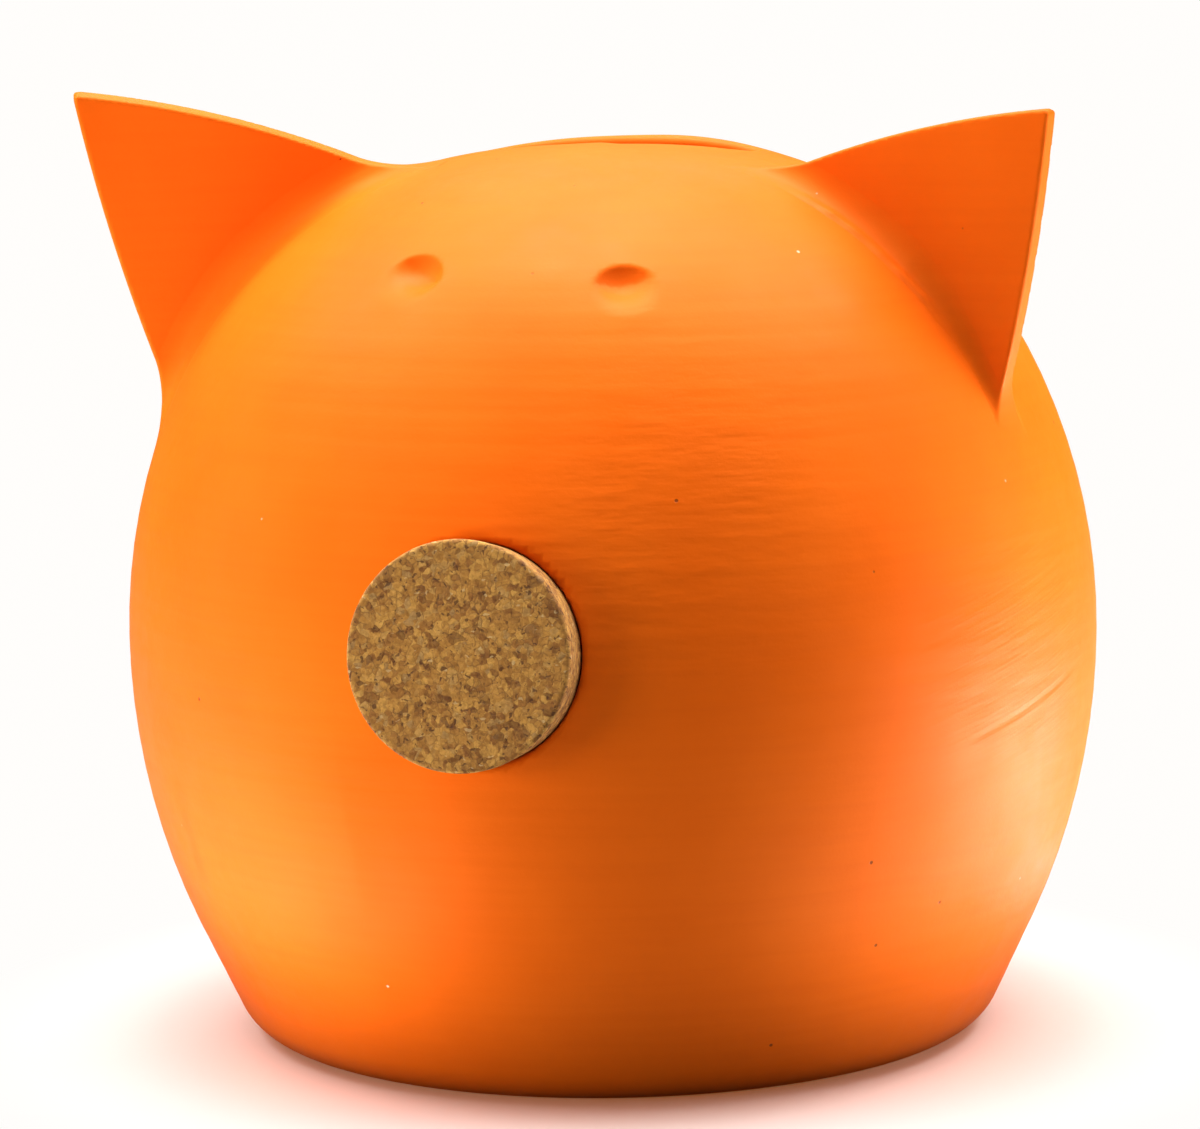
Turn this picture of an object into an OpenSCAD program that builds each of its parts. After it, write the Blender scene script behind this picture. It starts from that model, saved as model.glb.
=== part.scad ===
// Piggy bank: a wheel-thrown clay pot with two slab ears luted on, and a cork stopper for a snout.
// Millimetres. +Z is up, the pig looks along -Y, and the origin is the centre of the flat base.

/* [Pot] */
// Widest outside diameter of the pot
pot_d = 160; // [145:1:190]
// Height of the widest point, as a share of the radius
belly_height = 0.834; // [0.8:0.005:0.88]
// Thickness of the thrown wall
wall_t = 5.5; // [4.5:0.5:7]
// Thickness of the floor
floor_t = 7; // [6:0.5:9]
// Radius on the outer edge of the base
foot_r = 9.5; // [7:0.5:12]

/* [Coin slot] */
// Length of the slot
slot_l = 46; // [36:1:52]
// Width of the slot
slot_w = 6; // [5.5:0.5:8]
// Distance of the slot's middle behind the pot's axis
slot_back = 7; // [0:0.5:10]

/* [Snout stopper] */
// Diameter of the stopper's outer end
stopper_d = 35; // [30:0.5:38]
// Length of the stopper
stopper_l = 25; // [22:1:32]
// Half angle of the stopper's taper
stopper_taper = 5; // [3:0.5:6]
// Distance of the outer end in front of the pot's widest point
stopper_out = 5; // [4:0.5:8]
// Height of the middle of the outer end
stopper_z = 74.5; // [70:0.5:80]
// Angle of the stopper's axis above the horizon, going out
stopper_tilt = 7; // [0:0.5:9]
// Gap between the stopper and its seat
seat_gap = 0.1; // [0.05:0.01:0.1]

/* [Ears] */
// Thickness of the clay slab
ear_t = 3.7; // [3.2:0.1:4.5]
// Height of the pig's left ear above its root
ear_left_h = 40.5; // [36:0.5:50]
// Height of the pig's right ear above its root
ear_right_h = 47; // [36:0.5:50]
// Forward lean of the pig's left ear
ear_left_lean = 3; // [0:0.5:20]
// Forward lean of the pig's right ear
ear_right_lean = 18.5; // [0:0.5:20]
// Bulge of the upper edge
ear_top_bulge = 1.9; // [1.5:0.1:4]
// Bulge of the outer edge
ear_side_bulge = 1; // [0.8:0.1:3]
// Radius of the clay coil worked into the joint
coil_r = 4; // [3.5:0.1:4.5]

/* [Eyes] */
// Radius of the ball that the eyes are pressed with
eye_r = 6; // [5:0.5:7]
// Depth of each eye
eye_depth = 2; // [1.5:0.1:2.5]

/* [Hidden] */
$fn = 72;

clay = "#ff7f1e";
cork = "#a8743f";

pot_r = pot_d / 2;
far = 4 * wall_t;

// Pot outline: five tangent arcs and a short straight wall, whose radii follow the pot's radius

function polar(r, a) = r * [cos(a), sin(a)];
function arc(centre, r, from, to, steps) =
    [for (i = [0 : steps]) centre + polar(r, from + (to - from) * i / steps)];

belly_z = belly_height * pot_r;
belly_up_r = 1.232 * pot_r;
belly_low_r = 1.44 * pot_r;
shoulder_r = 0.793 * pot_r;
shoulder_a = 26;
crown_a = 82.4;
wall_a = 25;

belly_up_c = [pot_r - belly_up_r, belly_z];
belly_low_c = [pot_r - belly_low_r, belly_z];
shoulder_c = belly_up_c + polar(belly_up_r - shoulder_r, shoulder_a);
crown_r = shoulder_r + shoulder_c[0] / cos(crown_a);
crown_c = [0, shoulder_c[1] + (shoulder_r - crown_r) * sin(crown_a)];
pot_top = crown_c[1] + crown_r;
wall_top = belly_low_c + polar(belly_low_r, -wall_a);

// A point at a height, and at a distance inside the straight wall
function by_wall(inside, z) =
    [wall_top[0] + (sin(wall_a) * (z - wall_top[1]) - inside) / cos(wall_a), z];

// The same outline serves the outside, and the cavity set in from it
function outline(inset, base_z, base_r) = concat(
    [[0, pot_top - inset]],
    arc(crown_c, crown_r - inset, 87.5, crown_a, 2),
    arc(shoulder_c, shoulder_r - inset, crown_a - 5, shoulder_a, 10),
    arc(belly_up_c, belly_up_r - inset, shoulder_a - 5, 0, 4),
    arc(belly_low_c, belly_low_r - inset, -5, -wall_a, 4),
    arc(by_wall(inset + base_r, base_z + base_r), base_r, -wall_a - 13, -90, 4),
    [[0, base_z]]);

module pot_outside() rotate_extrude() polygon(outline(0, 0, foot_r));
module pot_cavity() rotate_extrude() polygon(outline(wall_t, floor_t, foot_r + 2));

// Outside radius at a height on the shoulder, and a point there at an angle from the front
function shoulder_at(z) = shoulder_c[0] + sqrt(pow(shoulder_r, 2) - pow(z - shoulder_c[1], 2));
function on_shoulder(a, z) = [shoulder_at(z) * sin(a), -shoulder_at(z) * cos(a), z];

// Stopper and its seat

stopper_face_r = stopper_d / 2;
stopper_edge = 0.6;
taper = tan(stopper_taper);

// Children stand on the stopper's outer end, and +Z points into the pot
module on_stopper_axis()
    translate([0, -pot_r - stopper_out, stopper_z]) rotate([-90 - stopper_tilt, 0, 0]) children();

module tapered_plug(from, to, gap)
    translate([0, 0, from])
        cylinder(h = to - from, r1 = stopper_face_r - from * taper + gap, r2 = stopper_face_r - to * taper + gap);

module snout_stopper() color(cork)
    on_stopper_axis() {
        cylinder(h = stopper_edge, r1 = stopper_face_r - stopper_edge, r2 = stopper_face_r - stopper_edge * taper);
        tapered_plug(stopper_edge, stopper_l, 0);
    }

// Pot

module coin_slot()
    translate([0, slot_back, pot_top - far])
        linear_extrude(2 * far) {
            square([slot_l - slot_w, slot_w], center = true);
            for (side = [-1, 1]) translate([side * (slot_l - slot_w) / 2, 0]) circle(d = slot_w);
        }

// Each eye's angle from the front and height on the shoulder, the pig's right eye first
eyes = [[-16.5, 1.597 * pot_r], [18.8, 1.58 * pot_r]];

module eye(a, z)
    rotate([0, 0, a]) translate([0, -shoulder_at(z), z])
        rotate([90 - asin((z - shoulder_c[1]) / shoulder_r), 0, 0])
            translate([0, 0, eye_r - eye_depth]) sphere(r = eye_r);

module pot() color(clay)
    difference() {
        pot_outside();
        pot_cavity();
        coin_slot();
        on_stopper_axis() tapered_plug(-far, stopper_l + far, seat_gap);
        for (e = eyes) eye(e[0], e[1]);
    }

// Ears: each is a flat slab in a plane through both ends of its root, tipped forward about them

root_in = on_shoulder(65.7, 1.77 * pot_r);
root_out = on_shoulder(73, 1.315 * pot_r);
root = root_out - root_in;
root_l = norm(root);
root_run = norm([root[0], root[1]]);
tip_share = 0.495;

// Children have +X along the root to its outer end, +Y up the slab and +Z towards the front
module on_ear_plane(side, lean)
    mirror([side < 0 ? 1 : 0, 0, 0]) translate(root_in)
        rotate([0, 0, atan2(root[1], root[0])]) rotate([0, -atan2(root[2], root_run), 0])
            rotate([90 + lean, 0, 0]) children();

// Points from one corner to another along an arc that bulges to the left of the way there
function bowed(from, to, bulge, steps) =
    let (way = to - from, half = norm(way) / 2, r = (pow(half, 2) + pow(bulge, 2)) / (2 * bulge),
         left = [-way[1], way[0]] / norm(way), centre = (from + to) / 2 - left * (r - bulge),
         start = atan2(from[1] - centre[1], from[0] - centre[0]), turn = 2 * asin(half / r))
    arc(centre, r, start, start - turn, steps);

function ear_outline(h) =
    let (tip = [tip_share * root_l, h])
    concat(bowed([0, 0], tip, ear_top_bulge, 8), bowed(tip, [root_l, 0], ear_side_bulge, 6),
           [[root_l - 3, -3], [3, -3]]);

module ear_slab(h) translate([0, 0, -ear_t]) linear_extrude(ear_t) polygon(ear_outline(h));

module ear(side, h, lean) color(clay)
    difference() {
        on_ear_plane(side, lean) ear_slab(h);
        pot_outside();
    }

// The coil follows the pot's shoulder round both faces of the slab
module coil(side, h, lean) color(clay)
    difference() {
        on_ear_plane(side, lean) translate([root_l / 2, 0, -ear_t / 2]) coil_ring();
        on_ear_plane(side, lean) ear_slab(h);
        pot_outside();
    }

coil_sink = 0.8;
coil_line_r = shoulder_r - coil_sink;
coil_half_a = asin(root_l / 2 / shoulder_r);

module coil_ring()
    translate([0, -shoulder_r * cos(coil_half_a), 0]) {
        rotate([0, 0, 90 - coil_half_a])
            rotate_extrude(angle = 2 * coil_half_a) translate([coil_line_r, 0]) circle(r = coil_r);
        for (a = [90 - coil_half_a, 90 + coil_half_a])
            rotate([0, 0, a]) translate([coil_line_r, 0, 0]) sphere(r = coil_r);
    }

module ear_left() ear(1, ear_left_h, ear_left_lean);
module ear_right() ear(-1, ear_right_h, ear_right_lean);
module ear_left_coil() coil(1, ear_left_h, ear_left_lean);
module ear_right_coil() coil(-1, ear_right_h, ear_right_lean);

pot();
ear_left();
ear_right();
ear_left_coil();
ear_right_coil();
snout_stopper();
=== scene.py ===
"""Piggy bank: an orange clay pot with slab ears, pressed eyes, a coin slot and a cork stopper for a snout.

Shapes are distance fields in millimetres in the CAD part's own frame, meshed here and scaled to metres.
"""

import math

import bpy
import numpy as np
from mathutils import Matrix, Vector


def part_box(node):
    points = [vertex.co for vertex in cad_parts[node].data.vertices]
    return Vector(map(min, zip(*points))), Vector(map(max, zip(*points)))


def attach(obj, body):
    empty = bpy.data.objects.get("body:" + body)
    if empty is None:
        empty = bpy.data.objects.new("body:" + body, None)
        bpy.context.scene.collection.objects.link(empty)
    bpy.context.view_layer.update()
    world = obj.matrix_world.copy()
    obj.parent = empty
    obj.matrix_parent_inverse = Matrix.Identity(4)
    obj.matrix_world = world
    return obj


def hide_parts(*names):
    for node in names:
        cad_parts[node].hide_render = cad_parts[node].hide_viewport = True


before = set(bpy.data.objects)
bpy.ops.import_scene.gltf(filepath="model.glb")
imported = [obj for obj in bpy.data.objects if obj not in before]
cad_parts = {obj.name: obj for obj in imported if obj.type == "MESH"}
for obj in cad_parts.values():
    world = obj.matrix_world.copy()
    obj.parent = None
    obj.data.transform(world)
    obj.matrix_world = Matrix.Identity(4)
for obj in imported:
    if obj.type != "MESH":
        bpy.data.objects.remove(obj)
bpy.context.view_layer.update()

MM = 0.001

# ---------------------------------------------------------------- driving dimensions, in millimetres

POT_R = 80.0
WALL = 5.5
FLOOR_Z = 7.0
FOOT_R = 9.5

BELLY_Z = 0.834 * POT_R
BELLY_UP_R = 1.232 * POT_R
BELLY_LOW_R = 1.44 * POT_R
SHOULDER_R = 0.793 * POT_R
SHOULDER_A = math.radians(26)
CROWN_A = math.radians(82.4)
WALL_A = math.radians(25)

SLOT_L, SLOT_W, SLOT_BACK = 46.0, 6.0, 7.0
SLOT_BOTTOM_Z = 120
SLOT_EDGE, SEAT_EDGE = 1.5, 1.2

STOPPER_R, STOPPER_L = 17.5, 25.0
STOPPER_TAPER = math.radians(5)
STOPPER_TILT = math.radians(7)
STOPPER_FACE = np.array([0.0, -POT_R - 5.0, 74.5])
STOPPER_EDGE, STOPPER_INNER_EDGE = 0.8, 1.6
SEAT_GAP = 0.1
SEAT_FROM, SEAT_TO = -15, 35

EAR_T = 3.7
EAR_CORNER, EAR_EDGE, EAR_SUNK = 1.2, 0.6, 3
EYE_R, EYE_DEPTH = 6.0, 2.0

# ---------------------------------------------------------------- field helpers

# Millimetres: the steps that slopes are taken over, and how far off the seen surface a point counts as on it.
SETTLE_STEP, NORMAL_STEP = 0.05, 0.12
SEEN_REACH = 0.2


def smooth_max(a, b, k):
    """The larger of two fields, with the corner between them rounded over a width k."""
    h = np.maximum(k - np.abs(a - b), 0) / k
    return np.maximum(a, b) + h * h * k / 4


def smooth_min(a, b, k):
    """The smaller of two fields, with the corner between them filled over a width k."""
    return -smooth_max(-a, -b, k)


def unit(v):
    v = np.asarray(v, float)
    return v / np.linalg.norm(v)


def gradient(field, p, h):
    """The field's slope at each point, taken over a step h to either side."""
    g = np.empty_like(p)
    for axis in range(3):
        step = np.zeros(3)
        step[axis] = h
        g[:, axis] = (field(p + step) - field(p - step)) / (2 * h)
    return g


def spaced(low, high, step, fine=()):
    """Lattice positions from low to high, with (from, to, step) stretches of their own spacing."""
    marks = [low]
    while marks[-1] < high:
        here = marks[-1]
        size = next((s for a, b, s in fine if a <= here < b), step)
        marks.append(here + size)
    return np.array(marks)


def box_lattice(node, step, spare=1.5):
    """A lattice around a node's box, with spare millimetres on every side."""
    low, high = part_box(node)
    return tuple(spaced(a / MM - spare, b / MM + spare, step) for a, b in zip(low, high))


CUBE_EDGES = [
    ((0, 0, 0), 0), ((0, 1, 0), 0), ((0, 0, 1), 0), ((0, 1, 1), 0),
    ((0, 0, 0), 1), ((1, 0, 0), 1), ((0, 0, 1), 1), ((1, 0, 1), 1),
    ((0, 0, 0), 2), ((1, 0, 0), 2), ((0, 1, 0), 2), ((1, 1, 0), 2),
]


def surface_net(field, lattice):
    """Vertices and quads of the field's zero surface, one vertex in each lattice cell that it crosses."""
    xs, ys, zs = lattice
    values = np.empty((len(xs), len(ys), len(zs)), np.float32)
    gy, gz = np.meshgrid(ys, zs, indexing="ij")
    for i, x in enumerate(xs):
        points = np.stack([np.full(gy.size, x), gy.ravel(), gz.ravel()], 1)
        values[i] = field(points).reshape(gy.shape)
    inside = values < 0
    count = np.zeros(np.array(values.shape) - 1, np.int8)
    for corner in np.ndindex(2, 2, 2):
        part = tuple(slice(c, c + n) for c, n in zip(corner, count.shape))
        count += inside[part]
    cells = np.argwhere((count > 0) & (count < 8))
    index = np.full(count.shape, -1, np.int64)
    index[tuple(cells.T)] = np.arange(len(cells))

    total = np.zeros((len(cells), 3))
    crossings = np.zeros(len(cells))
    axes = (xs, ys, zs)
    for corner, along in CUBE_EDGES:
        a = cells + np.array(corner)
        b = a.copy()
        b[:, along] += 1
        va, vb = values[tuple(a.T)], values[tuple(b.T)]
        cross = (va < 0) != (vb < 0)
        t = np.where(cross, va / np.where(cross, va - vb, 1), 0)
        for axis in range(3):
            pa, pb = axes[axis][a[:, axis]], axes[axis][b[:, axis]]
            total[:, axis] += np.where(cross, pa + t * (pb - pa), 0)
        crossings += cross
    points = total / crossings[:, None]

    quads = []
    for along in range(3):
        o1, o2 = [a for a in range(3) if a != along]
        low = inside.take(range(inside.shape[along] - 1), along)
        high = inside.take(range(1, inside.shape[along]), along)
        edges = np.argwhere(low != high)
        edges = edges[(edges[:, o1] > 0) & (edges[:, o2] > 0)]
        edges = edges[(edges[:, o1] < count.shape[o1]) & (edges[:, o2] < count.shape[o2])]
        ring = []
        for d1, d2 in ((1, 1), (0, 1), (0, 0), (1, 0)):
            cell = edges.copy()
            cell[:, o1] -= d1
            cell[:, o2] -= d2
            ring.append(index[tuple(cell.T)])
        ring = np.stack(ring, 1)
        outward = low[tuple(edges.T)]
        if along == 1:
            outward = ~outward
        ring[~outward] = ring[~outward][:, ::-1]
        quads.append(ring)
    return points, np.concatenate(quads)


def settle(field, p, rounds=3, reach=0.5):
    """Moves points onto the field's zero surface."""
    for _ in range(rounds):
        g = gradient(field, p, SETTLE_STEP)
        step = -field(p)[:, None] * g / np.maximum((g * g).sum(1), 0.05)[:, None]
        length = np.linalg.norm(step, axis=1, keepdims=True)
        p = p + step * np.minimum(1, reach / np.maximum(length, 1e-9))
    return p


def mesh_piece(name, points, faces, normals, material):
    """A mesh object from points in millimetres, with its own shading normals."""
    mesh = bpy.data.meshes.new(name)
    mesh.from_pydata((points * MM).tolist(), [], faces.tolist())
    mesh.polygons.foreach_set("use_smooth", np.ones(len(mesh.polygons), bool))
    mesh.normals_split_custom_set_from_vertices(normals.tolist())
    mesh.materials.append(material)
    piece = bpy.data.objects.new(name, mesh)
    bpy.context.scene.collection.objects.link(piece)
    return piece


def field_piece(name, field, lattice, material, seen=None):
    """A mesh of the field. Where the seen field's surface is close, its gradient gives the shading."""
    points, faces = surface_net(field, lattice)
    points = settle(field, points)
    g = gradient(field, points, NORMAL_STEP)
    if seen is not None:
        near = np.abs(seen(points)) < SEEN_REACH
        g[near] = gradient(seen, points[near], NORMAL_STEP)
    normals = g / np.maximum(np.linalg.norm(g, axis=1, keepdims=True), 1e-9)
    return mesh_piece(name, points, faces, normals, material)


# ---------------------------------------------------------------- the pot's outline

BELLY_UP_C = (POT_R - BELLY_UP_R, BELLY_Z)
BELLY_LOW_C = (POT_R - BELLY_LOW_R, BELLY_Z)
SHOULDER_C = (
    BELLY_UP_C[0] + (BELLY_UP_R - SHOULDER_R) * math.cos(SHOULDER_A),
    BELLY_UP_C[1] + (BELLY_UP_R - SHOULDER_R) * math.sin(SHOULDER_A),
)
CROWN_R = SHOULDER_R + SHOULDER_C[0] / math.cos(CROWN_A)
CROWN_Z = SHOULDER_C[1] + (SHOULDER_R - CROWN_R) * math.sin(CROWN_A)
WALL_TOP = (
    BELLY_LOW_C[0] + BELLY_LOW_R * math.cos(WALL_A),
    BELLY_LOW_C[1] - BELLY_LOW_R * math.sin(WALL_A),
)


def outline_distance(r, z, inset, base_z, foot):
    """Signed distance to the pot's outline of tangent arcs. The cavity has this outline too, set in."""
    d = np.hypot(r, z - CROWN_Z) - (CROWN_R - inset)
    from_shoulder = np.arctan2(z - SHOULDER_C[1], r - SHOULDER_C[0])
    shoulder = np.hypot(r - SHOULDER_C[0], z - SHOULDER_C[1]) - (SHOULDER_R - inset)
    d = np.where(from_shoulder < CROWN_A, shoulder, d)
    from_belly = np.arctan2(z - BELLY_UP_C[1], r - BELLY_UP_C[0])
    belly = np.hypot(r - BELLY_UP_C[0], z - BELLY_UP_C[1]) - (BELLY_UP_R - inset)
    d = np.where(from_belly < SHOULDER_A, belly, d)
    low = np.hypot(r - BELLY_LOW_C[0], z - BELLY_LOW_C[1]) - (BELLY_LOW_R - inset)
    d = np.where(z < BELLY_Z, low, d)
    wall = (r - WALL_TOP[0]) * math.cos(WALL_A) - (z - WALL_TOP[1]) * math.sin(WALL_A) + inset
    d = np.where(np.arctan2(z - BELLY_LOW_C[1], r - BELLY_LOW_C[0]) < -WALL_A, wall, d)
    foot_z = base_z + foot
    foot_r = WALL_TOP[0] + (math.sin(WALL_A) * (foot_z - WALL_TOP[1]) - inset - foot) / math.cos(WALL_A)
    corner = np.hypot(r - foot_r, z - foot_z) - foot
    d = np.where(np.arctan2(z - foot_z, r - foot_r) < -WALL_A, corner, d)
    return np.where((r < foot_r) & (z < foot_z), base_z - z, d)


def shoulder_point(angle, z):
    """A point on the shoulder at an angle from the front, and the outward direction there."""
    tilt = math.asin((z - SHOULDER_C[1]) / SHOULDER_R)
    r = SHOULDER_C[0] + SHOULDER_R * math.cos(tilt)
    round_dir = np.array([math.sin(angle), -math.cos(angle), 0])
    point = round_dir * r + np.array([0, 0, z])
    return point, round_dir * math.cos(tilt) + np.array([0, 0, math.sin(tilt)])


def hump(p, centre, widths):
    """A smooth bump of height 1 at centre."""
    q = (p - np.array(centre)) / np.array(widths)
    return np.exp(-(q * q).sum(1))


def thrown_unevenness(p):
    """How far the hand-thrown outside lies inside the true outline, never less than nothing."""
    angle = np.arctan2(p[:, 0], -p[:, 1])
    z = p[:, 2]
    slow = 0.09 * (1 + np.sin(2 * angle + 0.9 + 0.021 * z))
    slower = 0.06 * (1 + np.sin(3 * angle - 1.7 - 0.034 * z))
    rings = 0.016 * (1 + np.sin(z * 1.21 + 0.9 * np.sin(angle + 0.4)))
    rings = rings + 0.007 * (1 + np.sin(z * 2.9 + 1.3 * np.sin(angle - 1.1)))
    fade = np.clip((140 - z) / 20, 0, 1) * np.clip((z - 4) / 10, 0, 1)
    return slow + slower + rings * fade


def slot_lips(p):
    """Clay pushed up behind the coin slot and down in front of it by the cutting."""
    raised = 1.25 * hump(p, (11, SLOT_BACK + 6.5, 146), (14, 6, 30))
    raised = raised + 0.5 * hump(p, (-12, SLOT_BACK + 6, 146), (13, 6, 30))
    return raised - 0.45 * hump(p, (0, SLOT_BACK - 6, 146), (16, 5, 30))


def pot_outside(p):
    """The pot's outside before its eyes, slot and seat are made."""
    r = np.hypot(p[:, 0], p[:, 1])
    d = outline_distance(r, p[:, 2], 0.0, 0.0, FOOT_R)
    return d + thrown_unevenness(p) - slot_lips(p)


# ---------------------------------------------------------------- pot

STOPPER_AXIS = np.array([0, math.cos(STOPPER_TILT), -math.sin(STOPPER_TILT)])


def along_stopper(p):
    """Depth behind the stopper's outer end, and distance from its axis."""
    q = p - STOPPER_FACE
    depth = q @ STOPPER_AXIS
    return depth, np.linalg.norm(q - depth[:, None] * STOPPER_AXIS, axis=1)


def taper_distance(depth, radius, face_r):
    """Distance outside a cone of radius face_r at the stopper's outer end that narrows inwards."""
    return (radius - face_r + depth * math.tan(STOPPER_TAPER)) * math.cos(STOPPER_TAPER)


# Each eye's angle from the front, its height, how far it leans sideways and how deep it goes.
EYES = [
    (math.radians(-16.5), 1.602 * POT_R, 0.5, 1.3),
    (math.radians(18.6), 1.585 * POT_R, -0.12, 1.15),
]


def press_eye(d, p, angle, z, sideways, depth):
    """Presses a round tool into the shoulder: steep above, and soft below where the clay gave way."""
    point, out = shoulder_point(angle, z)
    side = unit(np.cross([0, 0, 1], out))
    upslope = np.cross(out, side)
    steep = unit(upslope + sideways * side)
    q = p - point
    up, across, deep = q @ steep, q @ np.cross(out, steep), -(q @ out)
    reach = np.sqrt((up - 0.5) ** 2 + (0.92 * across) ** 2)
    floor = depth * EYE_DEPTH * (0.30 + 0.70 * np.clip((up + 3.4) / 5.6, 0, 1))
    ball = np.sqrt(reach**2 + (deep + EYE_R - floor) ** 2) - EYE_R
    d = d - 0.08 * hump(p, point - steep * 5.0 - out * 0.5, (3.0, 3.0, 2.4))
    softness = np.clip(0.95 - 0.36 * up, 0.4, 2.4)
    return smooth_max(d, -ball, softness)


def pot_field(p):
    """The hollow pot with its eyes, coin slot and seat."""
    r = np.hypot(p[:, 0], p[:, 1])
    z = p[:, 2]
    outside = pot_outside(p)
    for eye in EYES:
        outside = press_eye(outside, p, *eye)
    cavity = outline_distance(r, z, WALL, FLOOR_Z, FOOT_R + 2)
    shell = np.maximum(outside, -cavity)
    reach = np.maximum(np.abs(p[:, 0]) - (SLOT_L - SLOT_W) / 2, 0)
    slot = np.maximum(np.hypot(reach, p[:, 1] - SLOT_BACK) - SLOT_W / 2, SLOT_BOTTOM_Z - z)
    depth, radius = along_stopper(p)
    beyond_seat = np.abs(depth - (SEAT_FROM + SEAT_TO) / 2) - (SEAT_TO - SEAT_FROM) / 2
    seat = np.maximum(taper_distance(depth, radius, STOPPER_R + SEAT_GAP), beyond_seat)
    shell = smooth_max(shell, -slot, SLOT_EDGE)
    return smooth_max(shell, -seat, SEAT_EDGE)


# ---------------------------------------------------------------- ears

ROOT_IN = shoulder_point(math.radians(65.7), 1.77 * POT_R)[0]
ROOT_OUT = shoulder_point(math.radians(73), 1.315 * POT_R)[0]
ROOT_L = float(np.linalg.norm(ROOT_OUT - ROOT_IN))

# side is 1 for the pig's left. tip is the tip's place along the root, top and outer are the bulges of the
# free edges, and cup is how hollow the front is. front and back are the widths of the joint's clay, ridge is
# the height of the line left in its front, and narrow is how much narrower the front gets downwards.
EARS = {
    "ear_left": dict(
        side=1, height=40.6, tip=0.508, lean=math.radians(3), top=1.8, outer=0.9, cup=0.8,
        front=5.5, back=4.5, ridge=0.42, narrow=0.6,
    ),
    "ear_right": dict(
        side=-1, height=47.0, tip=0.485, lean=math.radians(18.7), top=2.1, outer=1.1, cup=1.0,
        front=7.5, back=5.0, ridge=0.0, narrow=0.2,
    ),
}


def ear_axes(lean):
    """Directions along the root, up the slab and towards the front."""
    along = unit(ROOT_OUT - ROOT_IN)
    back = unit([-along[1], along[0], 0])
    up = np.cross(along, back)
    if up[2] < 0:
        up = -up
    return along, up * math.cos(lean) - back * math.sin(lean), -back * math.cos(lean) - up * math.sin(lean)


def bow_disc(start, end, bulge):
    """Centre and radius of the disc whose rim passes through both ends and bulges to the left of the way."""
    start, end = np.array(start), np.array(end)
    way = end - start
    half = np.linalg.norm(way) / 2
    radius = (half * half + bulge * bulge) / (2 * bulge)
    left = np.array([-way[1], way[0]]) / (2 * half)
    return (start + end) / 2 - left * (radius - bulge), radius


def slab_field(p, side, height, tip, lean, top, outer, cup, **_):
    """An ear's slab, with rounded edges, a blunt tip and a slightly hollow front."""
    q = p * np.array([side, 1, 1]) - ROOT_IN
    along, up, front = ear_axes(lean)
    u, v, w = q @ along, q @ up, q @ front
    corner = (tip * ROOT_L, height)
    rise = np.clip(v / height, 0, 1)
    w = w - cup * (rise**2 - 0.35 * rise) - 0.12 * np.sin(u * 0.21 + 1.1) * rise
    top_c, top_r = bow_disc((0.0, 0.0), corner, top)
    outer_c, outer_r = bow_disc(corner, (ROOT_L, 0.0), outer)
    above = np.hypot(u - top_c[0], v - top_c[1]) - top_r
    beside = np.hypot(u - outer_c[0], v - outer_c[1]) - outer_r
    face = smooth_max(above, beside, EAR_CORNER)
    face = np.maximum(face, -v - EAR_SUNK)
    thick = EAR_T / 2 - 0.12 * rise
    return smooth_max(face, np.abs(w + EAR_T / 2) - thick, EAR_EDGE)


ROOT_DEPTH = 0.6
COIL_SINK = 0.03
COIL_REACH = 0.95
RIDGE_PLACE, RIDGE_WIDTH = 0.6, 0.95


def ear_field(p, ear):
    """The slab, cut off just below the pot's surface."""
    return np.maximum(slab_field(p, **ear), -(pot_outside(p) + ROOT_DEPTH))


def coil_surface(p, ear):
    """The outside of the clay worked into the joint, with the pot, the slab and the clay's width."""
    pot, slab = pot_outside(p), slab_field(p, **ear)
    q = p * np.array([ear["side"], 1, 1]) - ROOT_IN
    along, _, front = ear_axes(ear["lean"])
    share = np.clip(0.5 + (q @ front + EAR_T / 2) / 6, 0, 1)
    down = q @ along / ROOT_L
    width = ear["back"] + (ear["front"] - ear["back"]) * share
    width = width * (1 - ear["narrow"] * share * np.clip((down - 0.5) / 0.4, 0, 1))
    edge = np.exp(-(((slab - pot - RIDGE_PLACE * width) / RIDGE_WIDTH) ** 2))
    length = np.clip((down - 0.05) / 0.12, 0, 1) * np.clip((0.78 - down) / 0.2, 0, 1)
    uneven = 0.75 + 0.25 * np.sin(down * 23) * np.sin(down * 41 + 1)
    ridge = ear["ridge"] * edge * share * length * uneven
    return smooth_min(pot, slab, width) + COIL_SINK - ridge, pot, slab, width


def coil_field(p, ear):
    """The worked clay on its own: a skin over the joint that ends just inside the pot and the slab."""
    blended, pot, slab, width = coil_surface(p, ear)
    kept = -(np.minimum(pot, slab) + ROOT_DEPTH)
    zone = (np.abs(pot - slab) - COIL_REACH * width) * 0.7
    return np.maximum(np.maximum(blended, kept), zone)


# ---------------------------------------------------------------- stopper


def stopper_field(p):
    """A tapered stopper with rounded rims."""
    depth, radius = along_stopper(p)
    side = taper_distance(depth, radius, STOPPER_R)
    outer = smooth_max(side, -depth, STOPPER_EDGE)
    return smooth_max(outer, depth - STOPPER_L, STOPPER_INNER_EDGE)


# ---------------------------------------------------------------- materials


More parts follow.
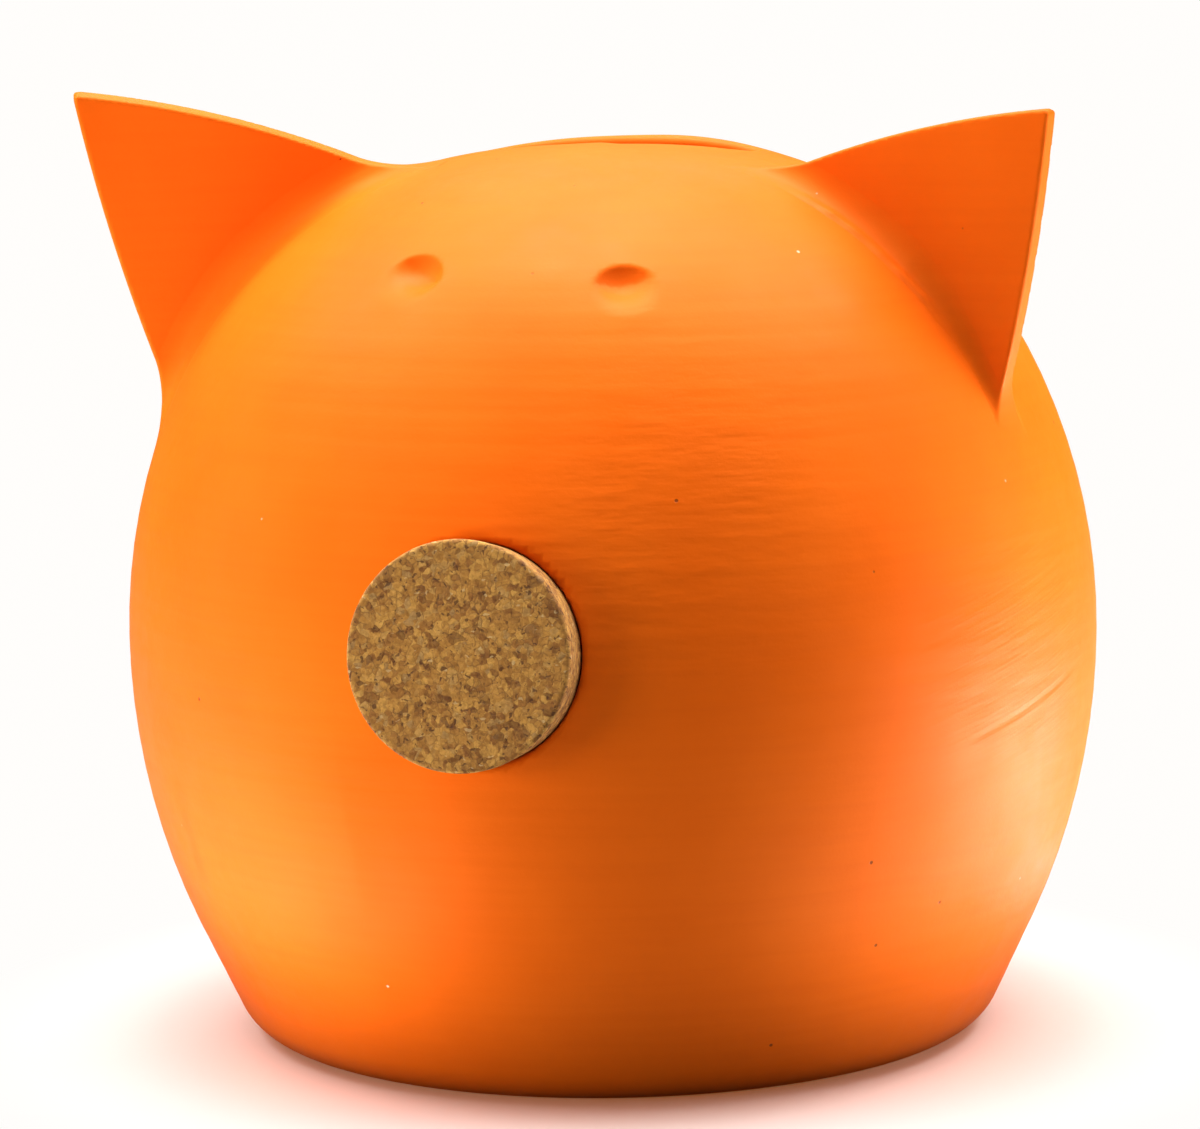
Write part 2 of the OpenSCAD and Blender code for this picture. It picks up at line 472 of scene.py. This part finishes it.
class Nodes:
    """A material's node tree. In add, i0, i1 and so on are inputs by number, and the others go by name."""

    def __init__(self, name):
        self.material = bpy.data.materials.new(name)
        self.material.use_nodes = True
        self.tree = self.material.node_tree
        self.tree.nodes.clear()
        self.where = self.add("ShaderNodeTexCoord").outputs["Object"]

    def add(self, kind, props=None, **inputs):
        node = self.tree.nodes.new(kind)
        for key, value in (props or {}).items():
            setattr(node, key, value)
        for key, value in inputs.items():
            by_number = key[0] == "i" and key[1:].isdigit()
            self.put(node.inputs[int(key[1:]) if by_number else key.replace("_", " ")], value)
        return node

    def put(self, socket, value):
        if isinstance(value, bpy.types.NodeSocket):
            self.tree.links.new(value, socket)
        else:
            socket.default_value = value

    def noise(self, scale, detail=2.0, rough=0.5, where=None):
        where = where or self.where
        node = self.add("ShaderNodeTexNoise", Vector=where, Scale=scale, Detail=detail, Roughness=rough)
        return node.outputs["Fac"]

    def stretch(self, where, scale):
        return self.add("ShaderNodeMapping", Vector=where, Scale=scale).outputs["Vector"]

    def math(self, operation, a, b=0.0):
        return self.add("ShaderNodeMath", {"operation": operation}, i0=a, i1=b).outputs[0]

    def span(self, value, low, high, to_low=0.0, to_high=1.0, clamp=True):
        ends = dict(From_Min=low, From_Max=high, To_Min=to_low, To_Max=to_high)
        return self.add("ShaderNodeMapRange", {"clamp": clamp}, Value=value, **ends).outputs[0]

    def near(self, centre, full, none):
        """1 within full metres of centre, falling to 0 at none metres."""
        away = self.add("ShaderNodeVectorMath", {"operation": "DISTANCE"}, i0=self.where, i1=centre)
        return self.span(away.outputs["Value"], none, full)

    def mix(self, share, a, b, blend="MIX"):
        node = self.add("ShaderNodeMix", {"data_type": "RGBA", "blend_type": blend})
        self.put(node.inputs[0], share)
        self.put(node.inputs[6], a)
        self.put(node.inputs[7], b)
        return node.outputs[2]

    def bump(self, height, strength, distance, normal=None):
        node = self.add("ShaderNodeBump", Height=height, Strength=strength, Distance=distance)
        if normal is not None:
            self.put(node.inputs["Normal"], normal)
        return node.outputs["Normal"]

    def ramp(self, value, stops):
        node = self.add("ShaderNodeValToRGB", Fac=value)
        elements = node.color_ramp.elements
        while len(elements) < len(stops):
            elements.new(0.5)
        for element, (at, colour) in zip(elements, stops):
            element.position = at
            element.color = colour
        return node.outputs["Color"]

    def finish(self, **inputs):
        shader = self.add("ShaderNodeBsdfPrincipled", **inputs)
        out = self.add("ShaderNodeOutputMaterial")
        self.tree.links.new(shader.outputs[0], out.inputs[0])
        return self.material


def rgb(r, g, b):
    return (r, g, b, 1.0)


CLAY_DEEP = rgb(0.86, 0.126, 0.004)
CLAY_BRIGHT = rgb(0.93, 0.150, 0.006)
CLAY_LINE = rgb(0.74, 0.091, 0.003)
CLAY_SHEEN = rgb(1.0, 0.55, 0.15)
DARK_SPECK = rgb(0.16, 0.03, 0.01)
PALE_SPECK = rgb(0.9, 0.6, 0.4)
BRUSHED_FLANK = (0.074, -0.030, 0.066)
RIPPLED_FRONT = (0.034, -0.070, 0.092)


def clay_material():
    """Thin matte orange colour over fired clay, with faint lines from throwing and brushing."""
    n = Nodes("orange_clay")
    cloud = n.span(n.noise(22, 3), 0.35, 0.65)
    colour = n.mix(cloud, CLAY_DEEP, CLAY_BRIGHT)
    lines = n.noise(1.0, 3, 0.6, where=n.stretch(n.where, (28, 28, 620)))
    colour = n.mix(n.span(lines, 0.42, 0.78, 0, 0.14), colour, CLAY_LINE)
    grit = n.add("ShaderNodeTexVoronoi", Vector=n.where, Scale=121.0)
    pick = n.add("ShaderNodeSeparateColor", i0=grit.outputs["Color"]).outputs
    speck = n.math("MULTIPLY", n.span(grit.outputs["Distance"], 0.042, 0.026), n.span(pick[0], 0.45, 0.5))
    speck_colour = n.mix(n.span(pick[1], 0.74, 0.76), DARK_SPECK, PALE_SPECK)
    colour = n.mix(n.math("MULTIPLY", speck, 0.8), colour, speck_colour)
    rough = n.span(n.noise(120, 4, 0.65), 0.3, 0.7, 0.42, 0.54)
    xyz = n.add("ShaderNodeSeparateXYZ", i0=n.where).outputs
    bearing = n.math("ARCTAN2", xyz[0], n.math("MULTIPLY", xyz[1], -1.0))
    groove_z = n.span(bearing, 1.059, 2.059, 0.0565, 0.0737, clamp=False)
    above_groove = n.math("SUBTRACT", xyz[2], groove_z)
    around, across = n.math("MULTIPLY", bearing, 2.2), n.math("MULTIPLY", above_groove, 520.0)
    brushed = n.add("ShaderNodeCombineXYZ", X=around, Y=across)
    strokes = n.noise(1.0, 3, 0.6, where=brushed.outputs[0])
    strokes = n.math("MULTIPLY", strokes, n.near(BRUSHED_FLANK, 0.012, 0.030))
    groove_ends = n.math("MULTIPLY", n.span(bearing, 1.02, 1.08), n.span(bearing, 1.44, 1.34))
    groove = n.math("MULTIPLY", n.span(n.math("ABSOLUTE", above_groove), 0.0009, 0.0001), groove_ends)
    ripples = n.noise(1.0, 2, 0.5, where=n.stretch(n.where, (150, 150, 620)))
    ripples = n.math("MULTIPLY", ripples, n.near(RIPPLED_FRONT, 0.014, 0.040))
    normal = n.bump(lines, 0.05, 0.0006)
    normal = n.bump(strokes, 0.16, 0.0008, normal)
    normal = n.bump(groove, 0.4, -0.0002, normal)
    normal = n.bump(ripples, 0.16, 0.0008, normal)
    normal = n.bump(n.noise(160, 3, 0.5), 0.10, 0.0008, normal)
    normal = n.bump(n.noise(2400, 2, 0.6), 0.10, 0.0002, normal)
    normal = n.bump(speck, 0.4, -0.0002, normal)
    return n.finish(
        Base_Color=colour, Roughness=rough, Normal=normal, IOR=1.46,
        Specular_IOR_Level=0.22, Specular_Tint=CLAY_SHEEN,
    )


CORK_BROWNS = [
    (0.00, rgb(0.125, 0.042, 0.010)), (0.16, rgb(0.285, 0.110, 0.024)), (0.36, rgb(0.420, 0.187, 0.035)),
    (0.60, rgb(0.505, 0.236, 0.046)), (0.84, rgb(0.650, 0.336, 0.070)), (1.00, rgb(0.380, 0.215, 0.075)),
]
CORK_BINDER = rgb(0.12, 0.050, 0.016)
CORK_SPECK = rgb(0.075, 0.026, 0.010)
CORK_FLECK = rgb(0.62, 0.42, 0.18)


def cork_material():
    """Pressed cork: small granules of many browns, a few large ones, dark specks and some pale flecks."""
    n = Nodes("pressed_cork")
    warp = n.add("ShaderNodeTexNoise", Vector=n.where, Scale=900.0, Detail=2.0)
    shift = n.add("ShaderNodeVectorMath", {"operation": "SCALE"}, i0=warp.outputs["Color"])
    n.put(shift.inputs["Scale"], 0.0011)
    bent = n.add("ShaderNodeVectorMath", {"operation": "ADD"}, i0=n.where, i1=shift.outputs[0]).outputs[0]

    def granules(scale):
        place = dict(Vector=bent, Scale=scale)
        cell = n.add("ShaderNodeTexVoronoi", {"feature": "SMOOTH_F1"}, Smoothness=0.18, **place)
        edge = n.add("ShaderNodeTexVoronoi", {"feature": "DISTANCE_TO_EDGE"}, **place)
        tone = n.add("ShaderNodeSeparateColor", i0=cell.outputs["Color"])
        return tone.outputs[0], tone.outputs[1], edge.outputs["Distance"]

    tone, _, edge = granules(960)
    big_tone, big_pick, _ = granules(480)
    tiny_tone, _, _ = granules(1900)
    colour = n.mix(0.28, n.ramp(tone, CORK_BROWNS), n.ramp(tiny_tone, CORK_BROWNS))
    big = n.span(big_pick, 0.76, 0.80, 0, 0.60)
    colour = n.mix(big, colour, n.ramp(big_tone, CORK_BROWNS))
    shade = n.ramp(n.noise(1500, 3, 0.6), [(0.32, rgb(0.62, 0.58, 0.54)), (0.60, rgb(1, 1, 1))])
    colour = n.mix(0.8, colour, shade, "MULTIPLY")
    binder = n.math("MULTIPLY", n.span(edge, 0.0, 0.10, 0.55, 0.0), n.span(n.noise(800, 2), 0.35, 0.6))
    colour = n.mix(binder, colour, CORK_BINDER)
    speck = n.span(n.noise(1350, 1, 0.4, where=bent), 0.655, 0.71, 0, 0.75)
    colour = n.mix(speck, colour, CORK_SPECK)
    fleck = n.span(n.noise(820, 0, 0.4, where=n.stretch(bent, (1, 1, 1.6))), 0.765, 0.80, 0, 0.55)
    colour = n.mix(fleck, colour, CORK_FLECK)
    normal = n.bump(n.math("MAXIMUM", binder, speck), 0.45, -0.0002)
    normal = n.bump(n.noise(1300, 3, 0.6), 0.30, 0.0003, normal)
    rough = n.span(n.noise(600, 2), 0.3, 0.7, 0.75, 0.92)
    return n.finish(Base_Color=colour, Roughness=rough, Normal=normal, IOR=1.4)


# ---------------------------------------------------------------- build

# The pot is finer at its slot and eyes.
FINE = 1.0
POT_STEP, POT_FINE_STEP = 1.15 * FINE, 0.6 * FINE
EAR_STEP, COIL_STEP, STOPPER_STEP = 0.55 * FINE, 0.42 * FINE, 0.45 * FINE
POT_REACH = POT_R + 1.4

clay = clay_material()
cork = cork_material()

pot_lattice = (
    spaced(-POT_REACH, POT_REACH, POT_STEP),
    spaced(-POT_REACH, POT_REACH, POT_STEP, [(-62, -46, POT_FINE_STEP), (1, 14, POT_FINE_STEP)]),
    spaced(-1.2, 149, POT_STEP, [(120, 134, POT_FINE_STEP), (139, 149, POT_FINE_STEP)]),
)
pieces = {"pot": field_piece("pot", pot_field, pot_lattice, clay)}

for ear_name, ear in EARS.items():
    pieces[ear_name] = field_piece(
        ear_name, lambda p, ear=ear: ear_field(p, ear), box_lattice(ear_name, EAR_STEP, 3), clay
    )
    coil_name = ear_name + "_coil"
    pieces[coil_name] = field_piece(
        coil_name, lambda p, ear=ear: coil_field(p, ear), box_lattice(coil_name, COIL_STEP, 6), clay,
        seen=lambda p, ear=ear: coil_surface(p, ear)[0],
    )
stopper_lattice = box_lattice("snout_stopper", STOPPER_STEP)
pieces["snout_stopper"] = field_piece("snout_stopper", stopper_field, stopper_lattice, cork)

for name, piece in pieces.items():
    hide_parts(name)
    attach(piece, "stopper" if name == "snout_stopper" else "bank")

# ---------------------------------------------------------------- stage

# A pale card colour tinted warm: the tint is painted bounce light from the orange pot, seen only near its
# base.
FLOOR_PALE_AND_PAINTED_BOUNCE = rgb(0.88, 0.75, 0.71)
FLOOR_BOUNCE = rgb(0.22, 0.22, 0.22)
# Painted light: the card glows faintly orange, standing in for the pot's light bounced onto the floor by its
# base.
FLOOR_PAINTED_BOUNCE_GLOW = rgb(0.24, 0.07, 0.02)
WORLD_COLOUR = rgb(1.0, 0.985, 0.965)
UNSEEN_WORLD = 0.02
SHADE_INNER_R, SHADE_OUTER_R = 0.056, 0.115
FLOOR_HALF_SIDE = 6.0


def floor_material():
    """Pale card that fades into the white backdrop. Less of its light goes back up than the camera sees. Its
    warm tint and faint orange glow are painted bounce light from the pot.
    """
    n = Nodes("floor")
    card = n.add(
        # Pale card, tinted warm as painted bounce light from the pot.
        "ShaderNodeBsdfPrincipled", Base_Color=FLOOR_PALE_AND_PAINTED_BOUNCE, Roughness=0.34, IOR=1.45,
        # Painted bounce light: a faint orange glow where the pot's light would fall on the floor.
        Emission_Color=FLOOR_PAINTED_BOUNCE_GLOW, Emission_Strength=1.0,
    )
    backdrop = n.add("ShaderNodeEmission", Color=WORLD_COLOUR)
    away = n.add("ShaderNodeVectorMath", {"operation": "LENGTH"}, i0=n.where).outputs["Value"]
    fade = n.add(
        "ShaderNodeMapRange", {"interpolation_type": "SMOOTHSTEP"},
        Value=away, From_Min=SHADE_INNER_R, From_Max=SHADE_OUTER_R,
    )
    seen = n.add("ShaderNodeMixShader", i0=fade.outputs[0], i1=card.outputs[0], i2=backdrop.outputs[0])
    unseen = n.add("ShaderNodeBsdfDiffuse", Color=FLOOR_BOUNCE)
    ray = n.add("ShaderNodeLightPath").outputs["Is Camera Ray"]
    shader = n.add("ShaderNodeMixShader", i0=ray, i1=unseen.outputs[0], i2=seen.outputs[0])
    out = n.add("ShaderNodeOutputMaterial")
    n.tree.links.new(shader.outputs[0], out.inputs[0])
    return n.material


def add_floor():
    mesh = bpy.data.meshes.new("floor")
    size = FLOOR_HALF_SIDE
    corners = [(-size, -size, 0), (size, -size, 0), (size, size, 0), (-size, size, 0)]
    mesh.from_pydata(corners, [], [(0, 1, 2, 3)])
    mesh.materials.append(floor_material())
    floor = bpy.data.objects.new("floor", mesh)
    bpy.context.scene.collection.objects.link(floor)


MIDDLE = Vector((0, 0, 0.08))
TABLE_BOX_Z = 0.002

# Each box's bearing in degrees from the pig's front towards its left, its elevation in degrees, its distance,
# size and watts. A box with no elevation lies on the table beside the pot and shines up. In the names, left
# and right are as the camera sees them.
BOXES = {
    "top": (16, 90, 1.0, (0.72, 0.72), 7.2),
    "top_back": (196, 72, 1.0, (0.60, 0.30), 1.7),
    "top_small": (16, 90, 1.0, (0.26, 0.26), 3.0),
    "top_behind": (196, 82, 1.0, (0.30, 0.20), 3.6),
    "right_top": (121, 61, 1.0, (0.52, 0.32), 1.7),
    "right_high": (121, 43, 1.0, (0.60, 0.28), 2.4),
    "right_low": (106, 5, 1.0, (0.50, 0.17), 2.5),
    "right_side_top": (91, 61, 1.0, (0.52, 0.32), 3.9),
    "right_small": (118, 52, 1.0, (0.22, 0.22), 1.3),
    "right_small_low": (118, 12, 1.0, (0.20, 0.14), 1.2),
    "left_top": (-60, 61, 1.0, (0.52, 0.32), 2.2),
    "left_high": (-60, 43, 1.0, (0.60, 0.28), 1.7),
    "left_low": (-44, 6, 1.0, (0.50, 0.20), 3.1),
    "left_side_top": (-95, 61, 1.0, (0.52, 0.32), 2.5),
    "left_side_high": (-95, 43, 1.0, (0.60, 0.28), 1.4),
    "left_side_low": (-82, 6, 1.0, (0.40, 0.20), 1.3),
    "left_small": (-75, 52, 1.0, (0.22, 0.22), 0.9),
    "left_small_low": (-85, 12, 1.0, (0.20, 0.14), 0.25),
    "back_high": (196, 43, 1.0, (0.50, 0.28), 1.0),
    "back_low": (200, 28, 1.0, (0.80, 0.25), 0.8),
    "table_right": (100, None, 0.145, (0.09, 0.12), 0.16),
    "table_right_glow": (103, None, 0.235, (0.09, 0.16), 1.15),
    "table_right_front": (62, None, 0.115, (0.05, 0.08), 0.03),
    "table_right_far": (112, None, 0.37, (0.18, 0.22), 0.12),
    "table_left": (-62, None, 0.145, (0.09, 0.12), 0.09),
    "table_left_glow": (-74, None, 0.235, (0.09, 0.16), 0.2),
    "table_left_edge": (-50, None, 0.48, (0.22, 0.30), 2.9),
    "table_left_front": (-32, None, 0.115, (0.05, 0.08), 0.08),
}


def add_box(name, bearing, elevation, distance, size, watts):
    """A softbox that isn't seen itself. Low ones and those on the table at the left leave no reflection."""
    turn = math.radians(bearing)
    way = Vector((math.sin(turn), -math.cos(turn), 0))
    data = bpy.data.lights.new(name, "AREA")
    data.shape = "RECTANGLE"
    data.size, data.size_y = size
    data.energy = watts
    light = bpy.data.objects.new(name, data)
    light.visible_camera = False
    light.visible_glossy = not (name.endswith("_low") or name.startswith("table_left"))
    if elevation is None:
        light.location = way * distance + Vector((0, 0, TABLE_BOX_Z))
        light.rotation_euler = (math.pi, 0, turn - math.pi / 2)
    else:
        lift = math.radians(elevation)
        way = way * math.cos(lift) + Vector((0, 0, math.sin(lift)))
        light.location = MIDDLE + way * distance
        light.rotation_mode = "QUATERNION"
        light.rotation_quaternion = way.to_track_quat("Z", "Y")
    bpy.context.scene.collection.objects.link(light)


def add_world():
    """A white backdrop that gives the pot itself next to no light."""
    world = bpy.data.worlds.new("studio")
    world.use_nodes = True
    tree = world.node_tree
    ray = tree.nodes.new("ShaderNodeLightPath")
    strength = tree.nodes.new("ShaderNodeMapRange")
    strength.inputs["To Min"].default_value = UNSEEN_WORLD
    strength.inputs["To Max"].default_value = 1.0
    tree.links.new(ray.outputs["Is Camera Ray"], strength.inputs["Value"])
    background = tree.nodes["Background"]
    background.inputs["Color"].default_value = WORLD_COLOUR
    tree.links.new(strength.outputs[0], background.inputs["Strength"])
    bpy.context.scene.world = world


CAMERA_AZIMUTH, CAMERA_ELEVATION, CAMERA_ROLL = 0.27948, 0.13948, math.radians(-1.0)
CAMERA_DISTANCE, CAMERA_AIM_Z, CAMERA_SIDE = 0.76239, 0.07642, -0.0020
SENSOR_WIDTH, LENS = 36.0, 138.0


def add_camera():
    """The camera stands on the pig's left, a little above, turned slightly about its own axis."""
    a, e = CAMERA_AZIMUTH, CAMERA_ELEVATION
    back = Vector((math.sin(a) * math.cos(e), -math.cos(a) * math.cos(e), math.sin(e)))
    right = Vector((math.cos(a), math.sin(a), 0))
    up = back.cross(right)
    turned_right = math.cos(CAMERA_ROLL) * right + math.sin(CAMERA_ROLL) * up
    turned_up = math.cos(CAMERA_ROLL) * up - math.sin(CAMERA_ROLL) * right
    data = bpy.data.cameras.new("camera")
    data.sensor_width = SENSOR_WIDTH
    data.lens = LENS
    data.clip_start, data.clip_end = 0.01, 50
    camera = bpy.data.objects.new("camera", data)
    camera.matrix_world = Matrix.Translation(
        Vector((0, 0, CAMERA_AIM_Z)) + right * CAMERA_SIDE + back * CAMERA_DISTANCE
    ) @ Matrix((turned_right, turned_up, back)).transposed().to_4x4()
    bpy.context.scene.collection.objects.link(camera)
    bpy.context.scene.camera = camera


add_floor()
add_world()
for box_name, box in BOXES.items():
    add_box(box_name, *box)
add_camera()
bpy.context.scene.view_settings.view_transform = "Standard"
